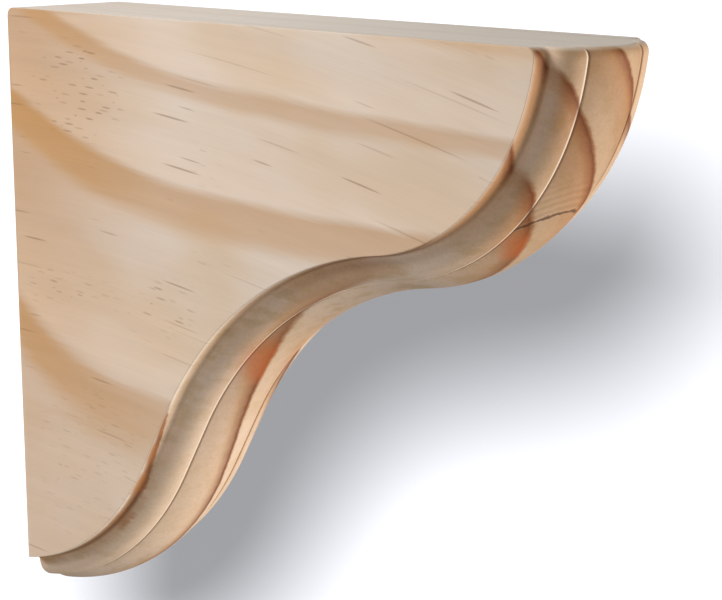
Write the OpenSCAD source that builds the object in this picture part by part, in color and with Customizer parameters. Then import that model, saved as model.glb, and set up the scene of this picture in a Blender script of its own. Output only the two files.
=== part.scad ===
// Wooden corbel bracket: one solid block with a moulded, S-shaped front.
// X runs out from the wall, Y across the thickness, Z up.
// The origin is the middle of the flat wall face. All sizes are in millimetres.

/* [Overall] */
// height from the lowest point of the moulding to the shelf face
overall_height = 175; // [140:1:215]
// depth from the wall face to the crown at the tip, before that corner is rounded
overall_depth = 210; // [170:1:255]
// thickness of the block from side face to side face
thickness = 38; // [30:0.5:50]

/* [Outline] */
// radius of the swelling under the tip, taken on the side face
nose_radius = 59; // [45:0.5:72]
// radius of the hollow in the middle of the front, taken on the side face
hollow_radius = 117.5; // [95:1:150]
// radius of the swelling at the foot, taken on the side face
heel_radius = 92; // [70:1:110]
// straight run of the front between the hollow and the foot swelling
straight_run = 18.5; // [0:0.5:30]
// lean of the front from upright where it meets the shelf face, in degrees
tip_lean = 6; // [0:0.5:15]
// lean of the underside from level where it meets the wall face, in degrees
foot_lean = 12.5; // [0:0.5:25]

/* [Moulding] */
// width of the narrow ledge next to each side face
ledge_width = 3.5; // [2:0.1:5]
// how far the ledge stands out at its inner edge
ledge_rise = 0.6; // [0.2:0.1:1.5]
// radius of the small hollow between ledge and bead
fillet_radius = 0.8; // [0.4:0.1:1.5]
// radius of the quarter-round bead
bead_radius = 5.8; // [4.8:0.1:7]
// depth of the fine groove between bead and crown
quirk_depth = 0.5; // [0.2:0.1:1]
// height of the rounded crown above the groove
crown_rise = 3.6; // [2.5:0.1:4.5]

/* [Edges] */
// radius of the eased edges along the side faces
arris_radius = 1.2; // [0.5:0.1:2]
// radius of the two corners at the ends of the shelf face
corner_radius = 2.4; // [1:0.1:4]

/* [Hidden] */
half = thickness / 2;
// heights of the profile above the line of the side face
bead_low = ledge_rise + fillet_radius;
bead_top = bead_low + bead_radius;
bead_in = ledge_width + bead_radius;
quirk_bottom = bead_top - quirk_depth;
crown_start = bead_in + quirk_depth * 0.6;
relief = quirk_bottom + crown_rise;
crown_half = half - crown_start;
crown_radius = (crown_half * crown_half + crown_rise * crown_rise) / (2 * crown_rise);
crown_angle = asin(crown_half / crown_radius);

// numbers of facets along each curved run
arris_steps = 3;
fillet_steps = 2;
bead_steps = 8;
crown_steps = 7;
nose_steps = 20;
hollow_steps = 15;
heel_steps = 14;
corner_steps = 4;

// half of the profile across the thickness, as [y inwards, relief, edge inset]
half_profile = concat(
    [for (i = [0:arris_steps]) let (a = 90 * i / arris_steps)
        [arris_radius * (1 - cos(a)), arris_radius * (sin(a) - 1), arris_radius * (1 - sin(a))]],
    [for (i = [0:fillet_steps]) let (a = 90 * i / fillet_steps)
        [ledge_width - fillet_radius * (1 - sin(a)), ledge_rise + fillet_radius * (1 - cos(a)), 0]],
    [for (i = [1:bead_steps]) let (a = 90 * i / bead_steps)
        [bead_in - bead_radius * cos(a), bead_low + bead_radius * sin(a), 0]],
    [for (i = [0:crown_steps]) let (a = crown_angle * (1 - i / crown_steps))
        [half - crown_radius * sin(a), relief - crown_radius * (1 - cos(a)), 0]]);
last = len(half_profile) - 1;
// whole profile from one side face to the other
profile = concat(
    [for (p = half_profile) [p[0] - half, p[1], p[2]]],
    [for (i = [last - 1:-1:0]) let (p = half_profile[i]) [half - p[0], p[1], p[2]]]);

// centres of the arcs, found from the overall sizes and the two leans
top = overall_height / 2;
nose_z = top + nose_radius * sin(tip_lean);
nose_x = overall_depth - sqrt(pow(nose_radius + relief, 2) - pow(nose_z - top, 2));
heel_x = -heel_radius * sin(foot_lean);
heel_z = sqrt(pow(heel_radius + relief, 2) - heel_x * heel_x) - top;
// the hollow touches the nose arc and is joined to the heel arc by the straight run
to_nose = nose_radius + hollow_radius;
to_heel = norm([hollow_radius + heel_radius, straight_run]);
span = [heel_x - nose_x, heel_z - nose_z];
reach = norm(span);
along = (to_nose * to_nose - to_heel * to_heel + reach * reach) / (2 * reach);
off = sqrt(to_nose * to_nose - along * along);
hollow_x = nose_x + (span[0] * along - span[1] * off) / reach;
hollow_z = nose_z + (span[1] * along + span[0] * off) / reach;
// turning angles of the front, measured from straight down towards the wall
nose_end = atan2(nose_z - hollow_z, hollow_x - nose_x);
hollow_end = atan2(heel_z - hollow_z, hollow_x - heel_x)
    + atan2(straight_run, hollow_radius + heel_radius);

function ray(a, r) = [r * cos(a), -r * sin(a)];

// one closed outline in the plane of a profile point standing out by n, edges inset by e
function outline(n, e) =
    let (r1 = nose_radius + n, r3 = heel_radius + n,
         a0 = asin((nose_z - top + e) / r1),
         a3 = acos((e - heel_x) / r3),
         tip = [nose_x, nose_z] + ray(a0, r1),
         c = corner_radius,
         // where the tip rounding leaves the nose arc
         ra = asin((nose_z - top + e + c) / (r1 - c)),
         rc = [nose_x, nose_z] + ray(ra, r1 - c))
    concat(
        [for (i = [0:corner_steps]) let (a = 90 * i / corner_steps)
            [e + c - c * cos(a), top - e - c + c * sin(a)]],
        [for (i = [0:corner_steps]) let (a = -90 + (ra + 90) * i / corner_steps)
            rc + ray(a, c)],
        [for (i = [1:nose_steps]) [nose_x, nose_z] + ray(ra + (nose_end - ra) * i / nose_steps, r1)],
        [for (i = [1:hollow_steps]) [hollow_x, hollow_z]
            - ray(nose_end + (hollow_end - nose_end) * i / hollow_steps, hollow_radius - n)],
        [for (i = [0:heel_steps]) [heel_x, heel_z]
            + ray(hollow_end + (a3 - hollow_end) * i / heel_steps, r3)]);

module bracket() {
    loops = [for (p = profile) [for (q = outline(p[1], p[2])) [q[0], p[0], q[1]]]];
    m = len(loops[0]);
    k = len(loops);
    color("burlywood")
    polyhedron(
        points = [for (loop = loops) each loop],
        faces = concat(
            // each side face is seen whole from the corner above the wall face
            [for (i = [1:m - 2]) [0, i, i + 1]],
            [for (i = [1:m - 2]) let (o = (k - 1) * m) [o, o + i + 1, o + i]],
            [for (j = [0:k - 2], i = [0:m - 1]) let (a = j * m + i, b = j * m + (i + 1) % m)
                each [[a, a + m, b + m], [a, b + m, b]]]),
        convexity = 6);
}

bracket();
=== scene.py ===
"""Looks of the wooden corbel bracket: one piece of sanded pine, its camera, floor and lights.

Sizes of the wood are in millimetres in the CAD model's frame: X runs out from the wall, Y across the
thickness, Z up, and the origin is the middle of the wall face. The stage and the mesh are in metres.
"""

import math

import bpy
from mathutils import Matrix, Vector


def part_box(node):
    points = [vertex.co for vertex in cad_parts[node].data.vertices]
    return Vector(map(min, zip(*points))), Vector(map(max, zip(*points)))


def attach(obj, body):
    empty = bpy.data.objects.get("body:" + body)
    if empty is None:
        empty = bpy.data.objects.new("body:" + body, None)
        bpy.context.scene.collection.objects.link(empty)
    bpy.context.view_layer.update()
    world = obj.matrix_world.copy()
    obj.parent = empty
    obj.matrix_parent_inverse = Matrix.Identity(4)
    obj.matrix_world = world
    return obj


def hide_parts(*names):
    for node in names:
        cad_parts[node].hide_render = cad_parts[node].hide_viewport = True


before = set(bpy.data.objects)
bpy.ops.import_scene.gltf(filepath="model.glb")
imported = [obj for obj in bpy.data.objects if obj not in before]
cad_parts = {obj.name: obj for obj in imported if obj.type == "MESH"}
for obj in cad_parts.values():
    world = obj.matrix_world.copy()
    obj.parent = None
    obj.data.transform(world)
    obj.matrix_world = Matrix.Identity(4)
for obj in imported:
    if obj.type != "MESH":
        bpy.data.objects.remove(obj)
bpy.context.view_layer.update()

MM = 0.001

# ---------------------------------------------------------------- camera
CAMERA_PLACE = Vector((0.4863, -0.3459, 0.12386))
CAMERA_YAW, CAMERA_PITCH, CAMERA_ROLL = 46.21, 11.93, -0.21
LENS, SENSOR = 100.24, 36.0
CLIP_START, CLIP_END = 0.01, 60.0

camera = bpy.data.objects.new("camera", bpy.data.cameras.new("camera"))
bpy.context.scene.collection.objects.link(camera)
camera.data.lens = LENS
camera.data.sensor_width = SENSOR
camera.data.clip_start, camera.data.clip_end = CLIP_START, CLIP_END
camera.matrix_world = (
    Matrix.Translation(CAMERA_PLACE)
    @ Matrix.Rotation(math.radians(CAMERA_YAW), 4, "Z")
    @ Matrix.Rotation(math.radians(90 - CAMERA_PITCH), 4, "X")
    @ Matrix.Rotation(math.radians(CAMERA_ROLL), 4, "Z")
)
bpy.context.scene.camera = camera


# ---------------------------------------------------------------- shape
LOW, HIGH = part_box("bracket")
HALF = (HIGH.y - LOW.y) / 2 / MM
TOP = HIGH.z / MM

# the CAD model's outline: radii of its three arcs, the straight run and the leans at its two ends
NOSE, HOLLOW, HEEL = 59.0, 117.5, 92.0
STRAIGHT = 18.5
TIP_LEAN, FOOT_LEAN = math.radians(6), math.radians(12.5)
# depth before the tip corner is rounded, a hair short so that fine facets stay in the CAD box
DEPTH = 209.985
CORNER = 2.4
# the CAD model's section
LEDGE, LEDGE_RISE, FILLET, BEAD, QUIRK, CROWN = 3.5, 0.6, 0.8, 5.8, 0.5, 3.6

# how the sanded section differs from the CAD model's: crisper arrises, and a wider and lower ledge that
# runs into the bead by a soft hollow
EASE = 0.25
LEDGE_SEEN, RISE_SEEN, SOFT = 4.1, 0.3, 1.5
# the fine groove: its lip on the bead, the foot of its wall there, how far it cuts back the crown, and
# how much deeper it is cut
LIP_IN, LIP_DROP = 0.2, 0.06
GROOVE_IN, GROOVE_BACK, GROOVE_DEEPER = 0.25, 0.55, 0.45

# numbers of facets along each curved run
EASE_STEPS, SOFT_STEPS, BEAD_STEPS, CROWN_STEPS = 6, 12, 28, 22
CORNER_STEPS, NOSE_STEPS, HOLLOW_STEPS, HEEL_STEPS = 8, 76, 64, 60
SHARP_ANGLE = math.radians(32)

BEAD_LOW = LEDGE_RISE + FILLET
BEAD_TOP = BEAD_LOW + BEAD
BEAD_IN = LEDGE + BEAD
QUIRK_BOTTOM = BEAD_TOP - QUIRK
CROWN_START = BEAD_IN + QUIRK * 0.6
RELIEF = QUIRK_BOTTOM + CROWN
CROWN_HALF = HALF - CROWN_START
CROWN_RADIUS = (CROWN_HALF**2 + CROWN**2) / (2 * CROWN)


def turn(steps, first=0):
    """Angles in equal steps up to a right angle, from the step numbered first."""
    return [math.pi / 2 * i / steps for i in range(first, steps + 1)]


def half_profile():
    """Points (inwards from the side face, outwards from its line, edge inset) of half the section."""
    points = [
        (EASE * (1 - math.cos(a)), EASE * (math.sin(a) - 1), EASE * (1 - math.sin(a)))
        for a in turn(EASE_STEPS)
    ]
    points += [
        (LEDGE_SEEN - SOFT * (1 - math.sin(a)), RISE_SEEN + SOFT * (1 - math.cos(a)), 0)
        for a in turn(SOFT_STEPS)
    ]
    # the bead starts where the soft hollow ends
    low = math.asin((RISE_SEEN + SOFT - BEAD_LOW) / BEAD)
    wide = BEAD_IN - LEDGE_SEEN
    for i in range(1, BEAD_STEPS + 1):
        a = low + (math.pi / 2 - low) * i / BEAD_STEPS
        points.append((BEAD_IN - wide * math.cos(a), BEAD_LOW + BEAD * math.sin(a), 0))
    points.append((BEAD_IN + LIP_IN, BEAD_TOP - LIP_DROP, 0))
    points.append((BEAD_IN + GROOVE_IN, QUIRK_BOTTOM - GROOVE_DEEPER, 0))
    first = math.asin((CROWN_HALF - GROOVE_BACK) / CROWN_RADIUS)
    for i in range(CROWN_STEPS + 1):
        a = first * (1 - i / CROWN_STEPS)
        points.append((HALF - CROWN_RADIUS * math.sin(a), RELIEF - CROWN_RADIUS * (1 - math.cos(a)), 0))
    return points


def ray(a, r):
    """The step of length r at angle a, turning down from straight out of the wall."""
    return Vector((r * math.cos(a), -r * math.sin(a)))


# centres of the arcs as (x, z), found from the overall sizes and the two leans
NOSE_AT = Vector((0, TOP + NOSE * math.sin(TIP_LEAN)))
NOSE_AT.x = DEPTH - math.sqrt((NOSE + RELIEF) ** 2 - (NOSE_AT.y - TOP) ** 2)
HEEL_AT = Vector((-HEEL * math.sin(FOOT_LEAN), 0))
HEEL_AT.y = math.sqrt((HEEL + RELIEF) ** 2 - HEEL_AT.x**2) - TOP
# the hollow touches the nose arc and is joined to the heel arc by the straight run
TO_NOSE, TO_HEEL = NOSE + HOLLOW, math.hypot(HOLLOW + HEEL, STRAIGHT)
SPAN = HEEL_AT - NOSE_AT
ALONG = (TO_NOSE**2 - TO_HEEL**2 + SPAN.length_squared) / (2 * SPAN.length)
OFF = math.sqrt(TO_NOSE**2 - ALONG**2)
HOLLOW_AT = NOSE_AT + (SPAN * ALONG + Vector((-SPAN.y, SPAN.x)) * OFF) / SPAN.length
# angles of the rays on which one run gives way to the next
NOSE_END = math.atan2(NOSE_AT.y - HOLLOW_AT.y, HOLLOW_AT.x - NOSE_AT.x)
HOLLOW_END = math.atan2(HEEL_AT.y - HOLLOW_AT.y, HOLLOW_AT.x - HEEL_AT.x) + math.atan2(
    STRAIGHT, HOLLOW + HEEL
)


def outline(n, e):
    """The closed outline standing out by n, with its two straight edges inset by e."""
    heel_end = math.acos((e - HEEL_AT.x) / (HEEL + n))
    tip_end = math.asin((NOSE_AT.y - TOP + e + CORNER) / (NOSE + n - CORNER))
    tip_at = NOSE_AT + ray(tip_end, NOSE + n - CORNER)
    points = [
        Vector((e + CORNER - CORNER * math.cos(a), TOP - e - CORNER + CORNER * math.sin(a)))
        for a in turn(CORNER_STEPS)
    ]
    # each run: centre, radius, first and last angle, facets, and the first point that is its own
    runs = (
        (tip_at, CORNER, -math.pi / 2, tip_end, CORNER_STEPS, 0),
        (NOSE_AT, NOSE + n, tip_end, NOSE_END, NOSE_STEPS, 1),
        (HOLLOW_AT, n - HOLLOW, NOSE_END, HOLLOW_END, HOLLOW_STEPS, 1),
        (HEEL_AT, HEEL + n, HOLLOW_END, heel_end, HEEL_STEPS, 0),
    )
    for at, r, start, end, steps, first in runs:
        points += [at + ray(start + (end - start) * i / steps, r) for i in range(first, steps + 1)]
    return points


def bracket_mesh():
    """The outline swept across the section, closed by the two side faces."""
    half = half_profile()
    section = [(p[0] - HALF, p[1], p[2]) for p in half]
    section += [(HALF - p[0], p[1], p[2]) for p in reversed(half[:-1])]
    loops = [(y, outline(n, e)) for y, n, e in section]
    verts = [(q.x * MM, y * MM, q.y * MM) for y, loop in loops for q in loop]
    m, k = len(loops[0][1]), len(loops)
    shelf_edge, wall_edge = CORNER_STEPS, m - 1
    faces, flat = [], []
    for j in range(k - 1):
        inset = section[j][2] or section[j + 1][2]
        for i in range(m):
            a, b = j * m + i, j * m + (i + 1) % m
            faces.append((a, a + m, b + m, b))
            flat.append(not inset and i in (shelf_edge, wall_edge))
    faces.append(tuple(range(m)))
    faces.append(tuple(reversed(range((k - 1) * m, k * m))))
    flat += [True, True]
    mesh = bpy.data.meshes.new("bracket_wood")
    mesh.from_pydata(verts, [], faces)
    mesh.validate()
    mesh.polygons.foreach_set("use_smooth", [not f for f in flat])
    mesh.update()
    mesh.set_sharp_from_angle(angle=SHARP_ANGLE)
    return mesh


wood = bpy.data.objects.new("bracket_wood", bracket_mesh())
bpy.context.scene.collection.objects.link(wood)


# ---------------------------------------------------------------- shader graphs
class Graph:
    """Short calls for making shader nodes. A value is a number, a vector or another node's output."""

    def __init__(self, name):
        self.material = bpy.data.materials.new(name)
        self.material.use_nodes = True
        self.tree = self.material.node_tree
        self.tree.nodes.clear()

    def node(self, kind, inputs=(), **settings):
        """A node with its settings made, and its inputs joined or set."""
        made = self.tree.nodes.new(kind)
        for key, value in settings.items():
            setattr(made, key, value)
        for where, value in dict(inputs).items():
            socket = made.inputs[where]
            if isinstance(value, bpy.types.NodeSocket):
                self.tree.links.new(value, socket)
            else:
                socket.default_value = value
        return made

    def math(self, operation, a, b=0.0, c=0.0):
        return self.node("ShaderNodeMath", {0: a, 1: b, 2: c}, operation=operation).outputs[0]

    def times(self, product, *others):
        """All the values multiplied together."""
        for value in others:
            product = self.math("MULTIPLY", product, value)
        return product

    def scaled(self, value, gain, offset):
        """The value times the gain, plus the offset."""
        return self.math("MULTIPLY_ADD", value, gain, offset)

    def between(self, mask, at_none, at_full):
        """One number where the mask is 0, another where it is 1, and in proportion between."""
        return self.scaled(mask, at_full - at_none, at_none)

    def most(self, a, b):
        return self.math("MAXIMUM", a, b)

    def size_of(self, value):
        return self.math("ABSOLUTE", value)

    def vector(self, x, y, z):
        return self.node("ShaderNodeCombineXYZ", {0: x, 1: y, 2: z}).outputs[0]

    def vector_math(self, operation, a, b):
        return self.node("ShaderNodeVectorMath", {0: a, 1: b}, operation=operation)

    def step(self, value, start, end):
        """0 at start and before it, 1 at end and past it, and smooth between."""
        return self.node(
            "ShaderNodeMapRange",
            {"Value": value, "From Min": start, "From Max": end},
            interpolation_type="SMOOTHSTEP",
        ).outputs["Result"]

    def ramp(self, value, stops):
        """Straight lines through the stops, each a place from 0 to 1 and the value there."""
        made = self.node("ShaderNodeValToRGB", {0: value})
        elements = made.color_ramp.elements
        while len(elements) < len(stops):
            elements.new(0.5)
        for element, (at, level) in zip(elements, stops):
            element.position = at
            element.color = (level, level, level, 1.0)
        return made.outputs[0]

    def mix(self, factor, a, b, blend="MIX"):
        """Colour a where the factor is 0, and colour b, blended with it, where it is 1."""
        made = self.node("ShaderNodeMix", data_type="RGBA", blend_type=blend)
        # this node has its inputs for colours at 6 and 7, and its output for colours at 2
        for where, value in ((0, factor), (6, a), (7, b)):
            if isinstance(value, bpy.types.NodeSocket):
                self.tree.links.new(value, made.inputs[where])
            elif where:
                made.inputs[where].default_value = (*value, 1.0)
            else:
                made.inputs[where].default_value = value
        return made.outputs[2]

    def lay(self, colour, tint, mask):
        """Lay a tint, which is a tone and its fullest strength, over a colour."""
        tone, strength = tint
        return self.mix(self.times(mask, strength), colour, tone)

    def surface(self, shader):
        self.node("ShaderNodeOutputMaterial", {"Surface": shader.outputs[0]})


def srgb(r, g, b):
    """A colour given as screen values from 0 to 255, each above 10."""
    return tuple(((v / 255 + 0.055) / 1.055) ** 2.4 for v in (r, g, b))


# ---------------------------------------------------------------- pine: colours
EARLY, EARLY_WARM = srgb(224, 206, 189), srgb(219, 194, 168)
# tints, each a tone and its fullest strength
WALL_TAN = (srgb(196, 156, 118), 1.0)
LATE = (srgb(198, 149, 94), 1.0)
END_TINT = (srgb(208, 162, 116), 1.0)
OLIVE = (srgb(186, 156, 104), 0.45)
TIP_TAN = (srgb(160, 120, 80), 0.55)
# the pale tone of fresh spring wood, also laid as painted light on the lower front and the far flank
FRESH_WOOD_AND_LIGHT = (srgb(244, 212, 180), 0.6)
GLOW = (srgb(178, 116, 66), 1.0)
TOP_GREY = (srgb(238, 227, 214), 0.85)
# painted highlight on the arrises and the bead crest
EDGE_HIGHLIGHT = (srgb(246, 228, 204), 0.6)
LEDGE_TAN = (srgb(190, 136, 88), 0.6)
# painted shade in the fine groove beside the bead crest
GROOVE_SHADE = (srgb(112, 74, 46), 1.0)
LATE_DARK = (srgb(118, 58, 28), 1.0)
RESIN = (srgb(200, 104, 48), 0.6)
STREAK = (srgb(178, 116, 64), 0.6)
CANAL = (srgb(128, 92, 66), 0.5)
SPLIT = (srgb(66, 38, 24), 0.75)

# ---------------------------------------------------------------- pine: noises
# cycles per millimetre along and across the grain, detail, roughness, and whether the noise follows
# the dip of the grain
NOISES = {
    "wander": (0.012, 0.03, 2.0, 0.5, False),
    "ragged": (0.018, 0.5, 3.0, 0.6, True),
    "fibre": (0.05, 2.2, 3.0, 0.65, True),
    "streak": (0.01, 0.35, 3.0, 0.6, True),
    "mottle": (0.02, 0.05, 2.0, 0.5, True),
    "blotch": (0.09, 0.22, 3.0, 0.6, False),
    "speck": (1.1, 1.5, 3.0, 0.7, False),
    "gather": (0.02, 0.035, 1.0, 0.5, False),
}
# how fast the grain dips with the square of the distance from the wall, per millimetre
GRAIN_DIP = 0.00065

# ---------------------------------------------------------------- pine: growth rings
# each ring: where its summer wood ends, as a distance through the rings, how wide the summer wood is,
# and how strong it is on the side faces
RINGS = (
    (-39.0, 2.0, 0.5),
    (-22.2, 2.4, 0.85),
    (-4.4, 4.4, 1.0),
    (9.3, 2.7, 0.8),
    (24.1, 3.4, 0.7),
    (40.7, 5.0, 0.7),
    (57.0, 3.0, 0.7),
)
RING_LOW, RING_HIGH = -60.0, 80.0
# the curved sheets: what each power of u and v adds to the distance through the rings, where u is the
# distance past RING_MIDDLE along X and v the height, both in units of RING_UNIT
RING_MIDDLE, RING_UNIT = 100.0, 100.0
SHEET_V, SHEET_VV = 27.7, 17.2
SHEET_U, SHEET_UU, SHEET_UUU = -2.8, -4.0, 2.7
SHEET_UV = 10.0
# how far the noises push the rings
WANDER_PUSH, RAGGED_PUSH = 1.8, 1.1
# what repeats at each ring, as stops (distance before the ring's sharp edge, share of the summer
# wood's width that is added to it, value). A ramp holds at most 32 stops.
BAND_SHAPE = ((0.6, 1.0, 0.0), (-0.3, 0.85, 0.9), (0.2, 0.0, 1.0), (-0.6, 0.0, 0.0))
GLOW_SHAPE = ((12.0, 0.0, 0.0), (4.5, 0.0, 0.4), (0.3, 0.0, 1.0), (-0.5, 0.0, 0.0))
LINE_SHAPE = ((3.6, 0.0, 0.0), (1.4, 0.0, 0.5), (0.3, 0.0, 1.0), (-0.5, 0.0, 0.0))
FRESH_SHAPE = ((-0.4, 0.0, 0.0), (-0.9, 0.0, 1.0), (-8.0, 0.0, 0.0))

# ---------------------------------------------------------------- pine: places on the bracket
# each pair is where a mask starts and where it is full
UNDER_TOP = (TOP - 0.2, TOP - 1.2)
OFF_SIDE = (0.1, 1.8)
OFF_WALL = (0.3, 1.5)
NEAR_WALL = (82.0, 0.0)
UPPER_SIDE = (-50.0, 60.0)
UPPER_FRONT = (-60.0, 30.0)
TOWARDS_TIP = (140.0, 195.0)
# the painted shade on the shelf face, darker from the wall out to the tip
TOP_SHADE_RUN = (60.0, 205.0)
# painted light that makes the lower front and the far flank of the crown and bead paler; the far flank
# also has faint rings
PALE_BELOW, PALE_ABOVE, PALE_INWARDS = (10.0, -40.0), (-78.0, -56.0), (2.5, 5.0)
FAR_PALE, FAR_FAINT = (5.0, 10.0), (6.0, 10.0)
# the painted highlight on the arris and the crest, the tan ledge, and the painted shade in the groove
ARRIS_OUT, ARRIS_IN, ARRIS_FADE = (0.0, 0.1), (1.6, 0.3), (0.0, 60.0)
CREST_IN, CREST_REACH, CREST_NEAR = BEAD_IN - 0.05, (0.55, 0.1), (4.0, 0.0)
LEDGE_OUT, LEDGE_IN, LEDGE_HEIGHT = (0.0, 0.4), (4.5, 2.0), (5.0, 45.0)
DARK_IN, DARK_REACH, DARK_FADE = BEAD_IN + 0.55, (0.5, 0.15), (-2.0, 2.0)
SKIN_DEPTH = (0.0, 0.5)
# parts of a normal that count as end grain, as the level top and as the underside
END_FACING, LEVEL_FACING, UNDER_FACING = (0.12, 0.8), (0.9, 0.98), (-0.7, -0.98)
# levels of the noises at which warm wood, olive wood and gathered canals start and are full
WARM_LEVEL, OLIVE_LEVEL, GATHER_LEVEL = (-0.15, 0.2), (-0.05, 0.15), (0.1, 0.22)

# the fine drying check across the crown under the tip: it lies where z = CHECK_SLOPE * x - CHECK_DROP
CHECK_SLOPE, CHECK_DROP = 0.5, 47.9
CHECK_NEAR, CHECK_FAR, CHECK_OUT = (-10.0, -8.5), (5.0, 2.0), (178.0, 184.0)
CHECK_EDGE, CHECK_RAGGED = (0.32, 0.08), 1.2
# the faint lines above it: where they fade, and the turn of their wave in radians per millimetre
FAINT_ABOVE, FAINT_BELOW, FAINT_WAVE = (8.0, 0.5), (-0.3, 0.2), 5.2
# near the tip the resin-rich places lie below the check
BELOW_CHECK, SHORT_OF_TIP = (0.3, -0.4), (160.0, 150.0)

# resin-rich places on the moulding: middle, reach, tint
PATCHES = (
    ((184.0, -3.5, 40.5), 8.5, RESIN),
    ((95.0, -4.0, -3.0), 14.0, RESIN),
    ((66.0, -17.5, -23.0), 6.0, STREAK),
    ((60.5, -17.5, -32.0), 6.5, STREAK),
    ((54.0, -16.5, -43.0), 7.0, STREAK),
    ((45.0, -14.0, -58.0), 8.0, STREAK),
)
PATCH_RAGGED, PATCH_CORE, PATCH_GLOW = 5.0, 0.3, (0.1, 0.5)

# resin canals: the cell that each dash lies in, its usual half length and half width, the share of
# cells that hold one, and a shift that keeps the kinds apart
SPARSE_CANALS = ((36.0, 3.0, 4.4), 7.0, 0.34, 0.27, 3.0)
DENSE_CANALS = ((6.5, 3.0, 2.3), 2.0, 0.34, 0.9, 11.0)
LONG_CANALS = ((80.0, 3.0, 5.5), 17.0, 0.3, 0.4, 5.0)
LONG_FROM, LONG_STRENGTH = (40.0, 110.0), 0.7
# how a dash ends across the cells, and how its edge fades
DASH_DEPTH, DASH_EDGE = 1.6, (1.0, 0.2)
# loose groups of the dense kind on the near side face: middle (x, z), half width, half height, density
CANAL_GROUPS = ((33, 66, 24, 17, 1.0), (40, -45, 40, 34, 0.45), (95, 10, 40, 20, 0.12))
GROUP_EDGE, NEAR_SIDE = (1.0, 0.4), (-14.0, -18.0)

# ---------------------------------------------------------------- pine: strengths
# each pair is a strength where the mask is 0 and one where it is full. The masks are the upper part of
# the side face, nearness to the wall, end grain, the upper front, the far flank, the skin and the crest.
TAN_UP_SIDE = (0.4, 0.85)
BAND_NEAR_WALL = (0.58, 0.94)
TINT_ON_END, TINT_UP_FRONT = (0.4, 1.0), (0.2, 0.6)
FRESH_UP_FRONT = (0.6, 0.35)
RINGS_ON_END = (0.15, 1.0)
GLOW_FAR, GLOW_UP_FRONT = (1.0, 0.5), (0.35, 0.85)
# the painted highlight on the arris, low down and high up the front
ARRIS_UP_FRONT = (1.0, 0.25)
GROOVE_FAR = (0.55, 0.2)
LINE_IN_SKIN = (0.05, 0.95)
# the painted shade on the underside, away from the crest and on it
UNDER_AT_CREST = (1.0, 0.1)
CANAL_OFF_SIDE = (1.0, 0.15)
# shares of a dash's usual half length, and how dark it is, each from the least to the most
DASH_LENGTH, DASH_DARK = (0.4, 1.6), (0.3, 1.0)
# the strength of the painted light on the far flank, and of the painted highlight on the crest
FAR_PALENESS, CREST_HIGHLIGHT = 0.8, 1.3
# how much of its colour end grain keeps, being darker, and how much the painted shade leaves on the
# underside and on the outer shelf face
END_KEEPS, UNDER_KEEPS, TOP_KEEPS = 0.9, 0.66, 0.84
# how much each noise lightens or darkens the wood, and how the surface takes light
FIBRE_SHADE, SPECK_SHADE, STREAK_SHADE, FAINT_SHADE = 0.09, 0.3, 0.12, 0.09
ROUGHNESS, ROUGHNESS_FIBRE = 0.66, 0.12
BUMP_STRENGTH, BUMP_DISTANCE, BUMP_FIBRE, BUMP_CANAL = 0.25, 0.0002, 0.5, -0.6
SPECULAR = 0.25


def ring_stops(shape, by_strength=False):
    """Ramp stops that repeat one shape at each ring."""
    stops = []
    for end, width, strength in RINGS:
        for before, share, value in shape:
            at = (end - before - share * width - RING_LOW) / (RING_HIGH - RING_LOW)
            stops.append((at, value * strength if by_strength else value))
    return stops


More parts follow.
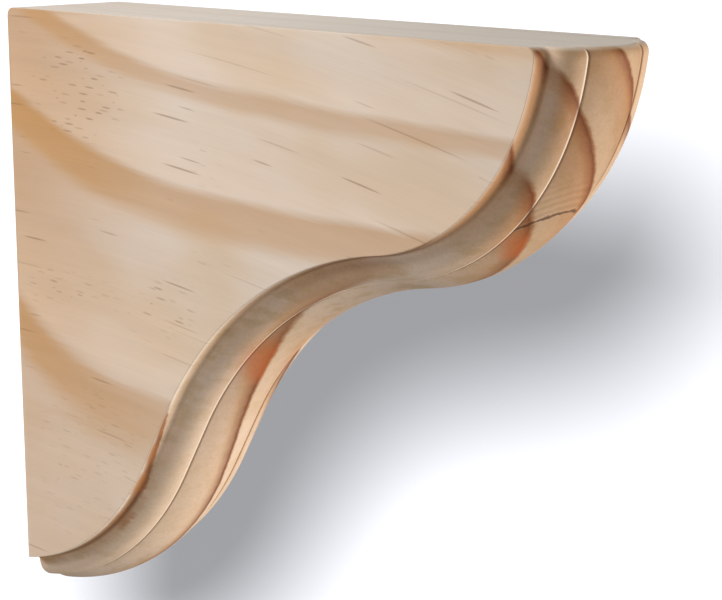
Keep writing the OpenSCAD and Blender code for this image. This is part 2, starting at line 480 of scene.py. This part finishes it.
class Pine(Graph):
    """Sanded pine. Its fields are values at each point of the surface, in millimetres or from 0 to 1."""

    def __init__(self):
        super().__init__("pine")
        self.find_places()
        self.make_noises()
        self.make_rings()
        self.find_check()

    def find_places(self):
        """Where a point lies, and which parts of the bracket it belongs to."""
        coords = self.node("ShaderNodeTexCoord")
        self.at = self.vector_math("MULTIPLY", coords.outputs["Object"], (1 / MM,) * 3).outputs[0]
        self.x, self.y, self.z = self.node("ShaderNodeSeparateXYZ", {0: self.at}).outputs
        facing = self.node("ShaderNodeSeparateXYZ", {0: coords.outputs["Normal"]})
        # the height at which the fibre through this point leaves the wall
        self.across = self.scaled(self.times(self.x, GRAIN_DIP), self.x, self.z)
        # how squarely the surface cuts across the fibres: 0 along them, 1 on end grain
        self.end = self.step(self.size_of(facing.outputs["X"]), *END_FACING)
        self.level = self.step(facing.outputs["Z"], *LEVEL_FACING)
        self.under = self.step(facing.outputs["Z"], *UNDER_FACING)
        self.inwards = self.math("SUBTRACT", HALF, self.size_of(self.y))
        # all below the shelf face, and of that what is off the side faces, and what is off the wall face
        self.under_top = self.step(self.z, *UNDER_TOP)
        self.cut = self.times(self.step(self.inwards, *OFF_SIDE), self.under_top)
        self.front = self.times(self.step(self.x, *OFF_WALL), self.under_top)
        self.upper = self.step(self.z, *UPPER_FRONT)
        self.near_wall = self.step(self.x, *NEAR_WALL)
        self.crest = self.beside(CREST_IN, CREST_REACH)

    def beside(self, line, reach):
        """Full on a line along the moulding, at this distance in from the side face."""
        return self.step(self.size_of(self.math("SUBTRACT", self.inwards, line)), *reach)

    def make_noises(self):
        """One field for each of the noises, from about -0.5 to 0.5."""
        for name, (along, aside, detail, roughness, dips) in NOISES.items():
            height = self.across if dips else self.z
            at = self.vector(
                self.times(self.x, along), self.times(self.y, aside), self.times(height, aside)
            )
            made = self.node(
                "ShaderNodeTexNoise",
                {"Vector": at, "Scale": 1.0, "Detail": detail, "Roughness": roughness},
            )
            setattr(self, name, self.math("SUBTRACT", made.outputs["Fac"], 0.5))

    def make_rings(self):
        """The growth rings: a gently dished and twisted stack of curved sheets."""
        u = self.scaled(self.x, 1 / RING_UNIT, -RING_MIDDLE / RING_UNIT)
        v = self.times(self.z, 1 / RING_UNIT)
        up = self.times(v, self.scaled(v, SHEET_VV, SHEET_V))
        twist = self.times(u, v, SHEET_UV)
        along = self.times(u, self.scaled(self.scaled(u, SHEET_UUU, SHEET_UU), u, SHEET_U))
        s = self.math("ADD", self.math("ADD", self.y, up), self.math("ADD", twist, along))
        s = self.scaled(self.wander, WANDER_PUSH, s)
        s = self.scaled(self.ragged, RAGGED_PUSH, s)
        place = self.math("DIVIDE", self.math("SUBTRACT", s, RING_LOW), RING_HIGH - RING_LOW)
        # broad summer wood, the glow and the dark line where the front cuts it, and the fresh spring
        # wood that starts straight after the line
        self.band = self.ramp(place, ring_stops(BAND_SHAPE, by_strength=True))
        self.glow = self.ramp(place, ring_stops(GLOW_SHAPE))
        self.line = self.ramp(place, ring_stops(LINE_SHAPE))
        self.fresh = self.ramp(place, ring_stops(FRESH_SHAPE))

    def find_check(self):
        """The drying check, the faint lines above it, and where resin-rich places may lie."""
        rise = self.scaled(self.x, -CHECK_SLOPE, self.math("ADD", self.z, CHECK_DROP))
        inside = self.times(self.step(self.y, *CHECK_NEAR), self.step(self.y, *CHECK_FAR))
        inside = self.times(inside, self.step(self.x, *CHECK_OUT))
        off = self.size_of(self.scaled(self.ragged, CHECK_RAGGED, rise))
        self.split = self.times(self.step(off, *CHECK_EDGE), inside)
        fade = self.times(self.step(rise, *FAINT_ABOVE), self.step(rise, *FAINT_BELOW), inside)
        self.faint = self.times(fade, self.math("SINE", self.times(rise, FAINT_WAVE)))
        room = self.most(self.step(rise, *BELOW_CHECK), self.step(self.x, *SHORT_OF_TIP))
        self.resin_room = self.times(room, self.front, self.step(self.inwards, *SKIN_DEPTH))

    def plain_wood(self):
        """The wood as the side faces show it: early wood, tan near the wall, with broad tan bands."""
        colour = self.mix(self.step(self.mottle, *WARM_LEVEL), EARLY, EARLY_WARM)
        tan = self.between(self.step(self.z, *UPPER_SIDE), *TAN_UP_SIDE)
        colour = self.lay(colour, WALL_TAN, self.times(self.near_wall, tan))
        band = self.times(self.band, self.between(self.near_wall, *BAND_NEAR_WALL))
        return self.lay(colour, LATE, band)

    def moulded_wood(self, colour):
        """The cut front: browner towards the tip, with painted light on the lower front and the far
        flank, and glowing rings.
        """
        across_fibre = self.between(self.end, *TINT_ON_END)
        tint = self.times(self.between(self.upper, *TINT_UP_FRONT), across_fibre)
        colour = self.lay(colour, END_TINT, self.times(self.cut, tint))
        colour = self.lay(colour, OLIVE, self.times(self.cut, self.step(self.blotch, *OLIVE_LEVEL)))
        tip = self.times(self.step(self.x, *TOWARDS_TIP), self.cut, across_fibre)
        colour = self.lay(colour, TIP_TAN, tip)
        # painted light: the lower front and the far flank of the crown and bead are made paler
        pale = self.times(self.step(self.z, *PALE_BELOW), self.step(self.z, *PALE_ABOVE))
        pale = self.times(pale, self.step(self.inwards, *PALE_INWARDS))
        pale = self.most(pale, self.times(self.step(self.y, *FAR_PALE), FAR_PALENESS))
        fresh = self.times(self.fresh, self.between(self.upper, *FRESH_UP_FRONT))
        pale = self.most(fresh, pale)
        colour = self.lay(colour, FRESH_WOOD_AND_LIGHT, self.times(pale, self.front))
        # the glow stands out most where the front cuts the fibres squarely
        square = self.times(self.cut, self.between(self.end, *RINGS_ON_END))
        square = self.times(square, self.between(self.step(self.y, *FAR_FAINT), *GLOW_FAR))
        spread = self.times(square, self.between(self.upper, *GLOW_UP_FRONT))
        return self.lay(colour, GLOW, self.times(self.glow, spread))

    def lines_and_painted_light(self, colour):
        """The pale shelf face, painted highlights on the arrises and the bead crest, the tan ledge,
        painted shade in the groove, and ring lines.
        """
        colour = self.lay(colour, TOP_GREY, self.level)
        # painted highlight: the arris beside the side face and the bead crest are made paler
        arris = self.times(self.step(self.inwards, *ARRIS_OUT), self.step(self.inwards, *ARRIS_IN))
        arris = self.times(arris, self.between(self.step(self.z, *ARRIS_FADE), *ARRIS_UP_FRONT))
        crest = self.times(self.crest, self.step(self.y, *CREST_NEAR))
        highlight = self.times(self.scaled(crest, CREST_HIGHLIGHT, arris), self.front)
        colour = self.lay(colour, EDGE_HIGHLIGHT, highlight)
        ledge = self.times(self.step(self.inwards, *LEDGE_OUT), self.step(self.inwards, *LEDGE_IN))
        ledge = self.times(ledge, self.step(self.z, *LEDGE_HEIGHT), self.front)
        colour = self.lay(colour, LEDGE_TAN, ledge)
        # painted shade in the groove
        groove = self.beside(DARK_IN, DARK_REACH)
        groove = self.times(groove, self.between(self.step(self.y, *DARK_FADE), *GROOVE_FAR))
        colour = self.lay(colour, GROOVE_SHADE, self.times(groove, self.front))
        skin = self.step(self.inwards, *SKIN_DEPTH)
        skin = self.times(skin, self.between(self.end, *RINGS_ON_END), self.under_top)
        line = self.times(self.line, self.between(skin, *LINE_IN_SKIN))
        return self.lay(colour, LATE_DARK, line)

    def resin_patches(self, colour):
        """Resin-rich places, held within the glow of a ring."""
        for middle, reach, tint in PATCHES:
            gap = self.vector_math("DISTANCE", self.at, middle).outputs["Value"]
            patch = self.step(self.scaled(self.blotch, PATCH_RAGGED, gap), reach, reach * PATCH_CORE)
            patch = self.times(patch, self.step(self.glow, *PATCH_GLOW), self.resin_room)
            colour = self.lay(colour, tint, patch)
        return colour

    def shaded(self, colour):
        """Fine lights and darks of the fibres, darker end grain, and painted shade on the underside and
        the outer shelf face.
        """
        shade = self.scaled(self.fibre, FIBRE_SHADE, 1.0)
        shade = self.scaled(self.times(self.speck, self.cut), SPECK_SHADE, shade)
        shade = self.scaled(self.streak, STREAK_SHADE, shade)
        shade = self.scaled(self.faint, FAINT_SHADE, shade)
        # painted shade on surfaces that face down, less on the crest
        under = self.times(self.under, self.between(self.crest, *UNDER_AT_CREST))
        # painted shade on the shelf face, darker out towards the tip
        top_shade = self.times(self.level, self.step(self.x, *TOP_SHADE_RUN))
        for mask, kept in ((self.end, END_KEEPS), (under, UNDER_KEEPS), (top_shade, TOP_KEEPS)):
            shade = self.times(shade, self.between(mask, 1.0, kept))
        return self.mix(1.0, colour, self.vector(shade, shade, shade), "MULTIPLY")

    def dashes(self, cell, half_length, half_width, held_share, shift):
        """Short dark dashes along the grain, at most one to a cell."""
        at = self.vector(
            self.scaled(self.x, 1 / cell[0], shift),
            self.times(self.y, 1 / cell[1]),
            self.times(self.across, 1 / cell[2]),
        )
        cells = self.node("ShaderNodeTexVoronoi", {"Vector": at, "Scale": 1.0, "Randomness": 1.0})
        away = self.vector_math("SUBTRACT", at, cells.outputs["Position"]).outputs[0]
        away_x, away_y, away_z = self.node("ShaderNodeSeparateXYZ", {0: away}).outputs
        held, long, dark = self.node("ShaderNodeSeparateColor", {0: cells.outputs["Color"]}).outputs
        length = self.between(long, *(half_length * share for share in DASH_LENGTH))
        along = self.math("DIVIDE", self.times(away_x, cell[0]), length)
        aside = self.times(away_z, cell[2] / half_width)
        through = self.times(away_y, DASH_DEPTH)
        far = self.math("ADD", self.times(along, along), self.times(aside, aside))
        far = self.scaled(through, through, far)
        mark = self.times(self.step(far, *DASH_EDGE), self.math("LESS_THAN", held, held_share))
        return self.times(mark, self.between(dark, *DASH_DARK))

    def canals(self):
        """Resin canals: long and sparse dashes, and short ones that gather in loose groups."""
        gather = self.step(self.gather, *GATHER_LEVEL)
        for at_x, at_z, wide, high, density in CANAL_GROUPS:
            away_x = self.times(self.math("SUBTRACT", self.x, at_x), 1 / wide)
            away_z = self.times(self.math("SUBTRACT", self.z, at_z), 1 / high)
            away = self.scaled(away_x, away_x, self.times(away_z, away_z))
            near = self.times(self.step(away, *GROUP_EDGE), self.step(self.y, *NEAR_SIDE))
            gather = self.most(gather, self.times(near, density))
        short = self.times(self.dashes(*DENSE_CANALS), gather)
        long = self.times(self.dashes(*LONG_CANALS), self.step(self.x, *LONG_FROM), LONG_STRENGTH)
        canal = self.most(self.most(self.dashes(*SPARSE_CANALS), short), long)
        return self.times(canal, self.between(self.most(self.cut, self.level), *CANAL_OFF_SIDE))

    def finish(self):
        """All the looks laid one over another, and the shader that shows them."""
        colour = self.lines_and_painted_light(self.moulded_wood(self.plain_wood()))
        colour = self.shaded(self.resin_patches(colour))
        canal = self.canals()
        colour = self.lay(colour, CANAL, canal)
        colour = self.lay(colour, SPLIT, self.split)
        height = self.scaled(canal, BUMP_CANAL, self.times(self.fibre, BUMP_FIBRE))
        bump = self.node(
            "ShaderNodeBump",
            {"Strength": BUMP_STRENGTH, "Distance": BUMP_DISTANCE, "Height": height},
        )
        shader = self.node(
            "ShaderNodeBsdfPrincipled",
            {
                "Base Color": colour,
                "Roughness": self.scaled(self.fibre, ROUGHNESS_FIBRE, ROUGHNESS),
                "Normal": bump.outputs[0],
                "Specular IOR Level": SPECULAR,
            },
        )
        self.surface(shader)
        return self.material


wood.data.materials.append(Pine().finish())
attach(wood, "root")
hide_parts("bracket")


# ---------------------------------------------------------------- floor, in metres
OBJECT_MIDDLE = Vector((0.1, 0.0, 0.0))
FLOOR_DROP = 0.55
FLOOR_COLOUR = (0.91, 0.92, 0.965, 1)
SWEEP_START, SWEEP_RADIUS, SWEEP_TOP = 1.0, 0.9, 2.6
SWEEP_STEPS, SWEEP_SIDES = 32, 128


def sweep_mesh():
    """A round floor that curves up into a wall well outside every view's camera."""
    rings = [(SWEEP_START, 0.0)]
    for a in turn(SWEEP_STEPS, 1):
        rings.append((SWEEP_START + SWEEP_RADIUS * math.sin(a), SWEEP_RADIUS * (1 - math.cos(a))))
    rings.append((SWEEP_START + SWEEP_RADIUS, SWEEP_TOP))
    around = [2 * math.pi * j / SWEEP_SIDES for j in range(SWEEP_SIDES)]
    verts = [(r * math.cos(a), r * math.sin(a), z) for r, z in rings for a in around]
    faces = [tuple(range(SWEEP_SIDES))]
    for i in range(len(rings) - 1):
        low, high = i * SWEEP_SIDES, (i + 1) * SWEEP_SIDES
        for j in range(SWEEP_SIDES):
            k = (j + 1) % SWEEP_SIDES
            faces.append((low + j, low + k, high + k, high + j))
    mesh = bpy.data.meshes.new("floor")
    mesh.from_pydata(verts, [], faces)
    mesh.polygons.foreach_set("use_smooth", [False] + [True] * (len(faces) - 1))
    mesh.update()
    return mesh


def floor_material():
    graph = Graph("floor")
    graph.surface(graph.node("ShaderNodeBsdfDiffuse", {"Color": FLOOR_COLOUR}))
    return graph.material


floor = bpy.data.objects.new("floor", sweep_mesh())
floor.location = OBJECT_MIDDLE - Vector((0, 0, FLOOR_DROP))
# the floor takes light, and neither lights nor shades the wood
floor.visible_diffuse = floor.visible_glossy = floor.visible_shadow = False
bpy.context.scene.collection.objects.link(floor)
floor.data.materials.append(floor_material())

# ---------------------------------------------------------------- lights and world, in metres
WHITE, WARM, COOL = (1.0, 1.0, 1.0), (1.0, 0.97, 0.93), (0.96, 0.97, 1.0)
# soft lights on the wood: name, direction from the object, distance, size, watts, colour
SOFT_LIGHTS = (
    ("left", (-0.62, -0.62, 0.58), 1.8, 1.0, 29.0, WHITE),
    ("right", (0.80, 0.44, -0.22), 1.7, 0.8, 30.0, WARM),
    ("fill", (-0.05, -0.75, -0.65), 0.75, 0.5, 0.6, WHITE),
)
OVERHEAD = ("overhead", (0.0, 0.0, 1.0), 3.0, 2.0, 7.0, COOL)
# a small lamp to the left of the camera and above it throws the soft shadow on the sweep behind
LAMP_WATTS, LAMP_RADIUS = 225.0, 0.035
LAMP_OFFSET = Vector((-0.032, 0.041, 0.0))
WORLD_STRENGTH = 0.35


def place_light(light, watts, place, colour):
    """A light that the camera doesn't see."""
    light.energy = watts
    light.color = colour
    made = bpy.data.objects.new(light.name, light)
    made.visible_camera = False
    made.location = place
    bpy.context.scene.collection.objects.link(made)
    return made


def soft_light(name, direction, distance, size, watts, colour):
    """A round soft light that faces the object from a direction."""
    light = bpy.data.lights.new(name, "AREA")
    light.shape = "DISK"
    light.size = size
    back = Vector(direction).normalized()
    made = place_light(light, watts, OBJECT_MIDDLE + back * distance, colour)
    made.rotation_euler = back.to_track_quat("Z", "Y").to_euler()
    return made


def backdrop_lamp():
    light = bpy.data.lights.new("backdrop", "POINT")
    light.shadow_soft_size = LAMP_RADIUS
    beside_camera = CAMERA_PLACE + camera.matrix_world.to_3x3() @ LAMP_OFFSET
    return place_light(light, LAMP_WATTS, beside_camera, WHITE)


def only_for(lights, lit, name):
    """These lights reach only this object."""
    group = bpy.data.collections.new(name)
    group.objects.link(lit)
    for light in lights:
        light.light_linking.receiver_collection = group


only_for([soft_light(*row) for row in SOFT_LIGHTS], wood, "lit_object")
only_for([backdrop_lamp(), soft_light(*OVERHEAD)], floor, "lit_floor")

world = bpy.data.worlds.new("studio")
bpy.context.scene.world = world
world.use_nodes = True
studio = world.node_tree.nodes["Background"]
studio.inputs["Color"].default_value = (*WHITE, 1.0)
studio.inputs["Strength"].default_value = WORLD_STRENGTH
bpy.context.scene.view_settings.view_transform = "Standard"
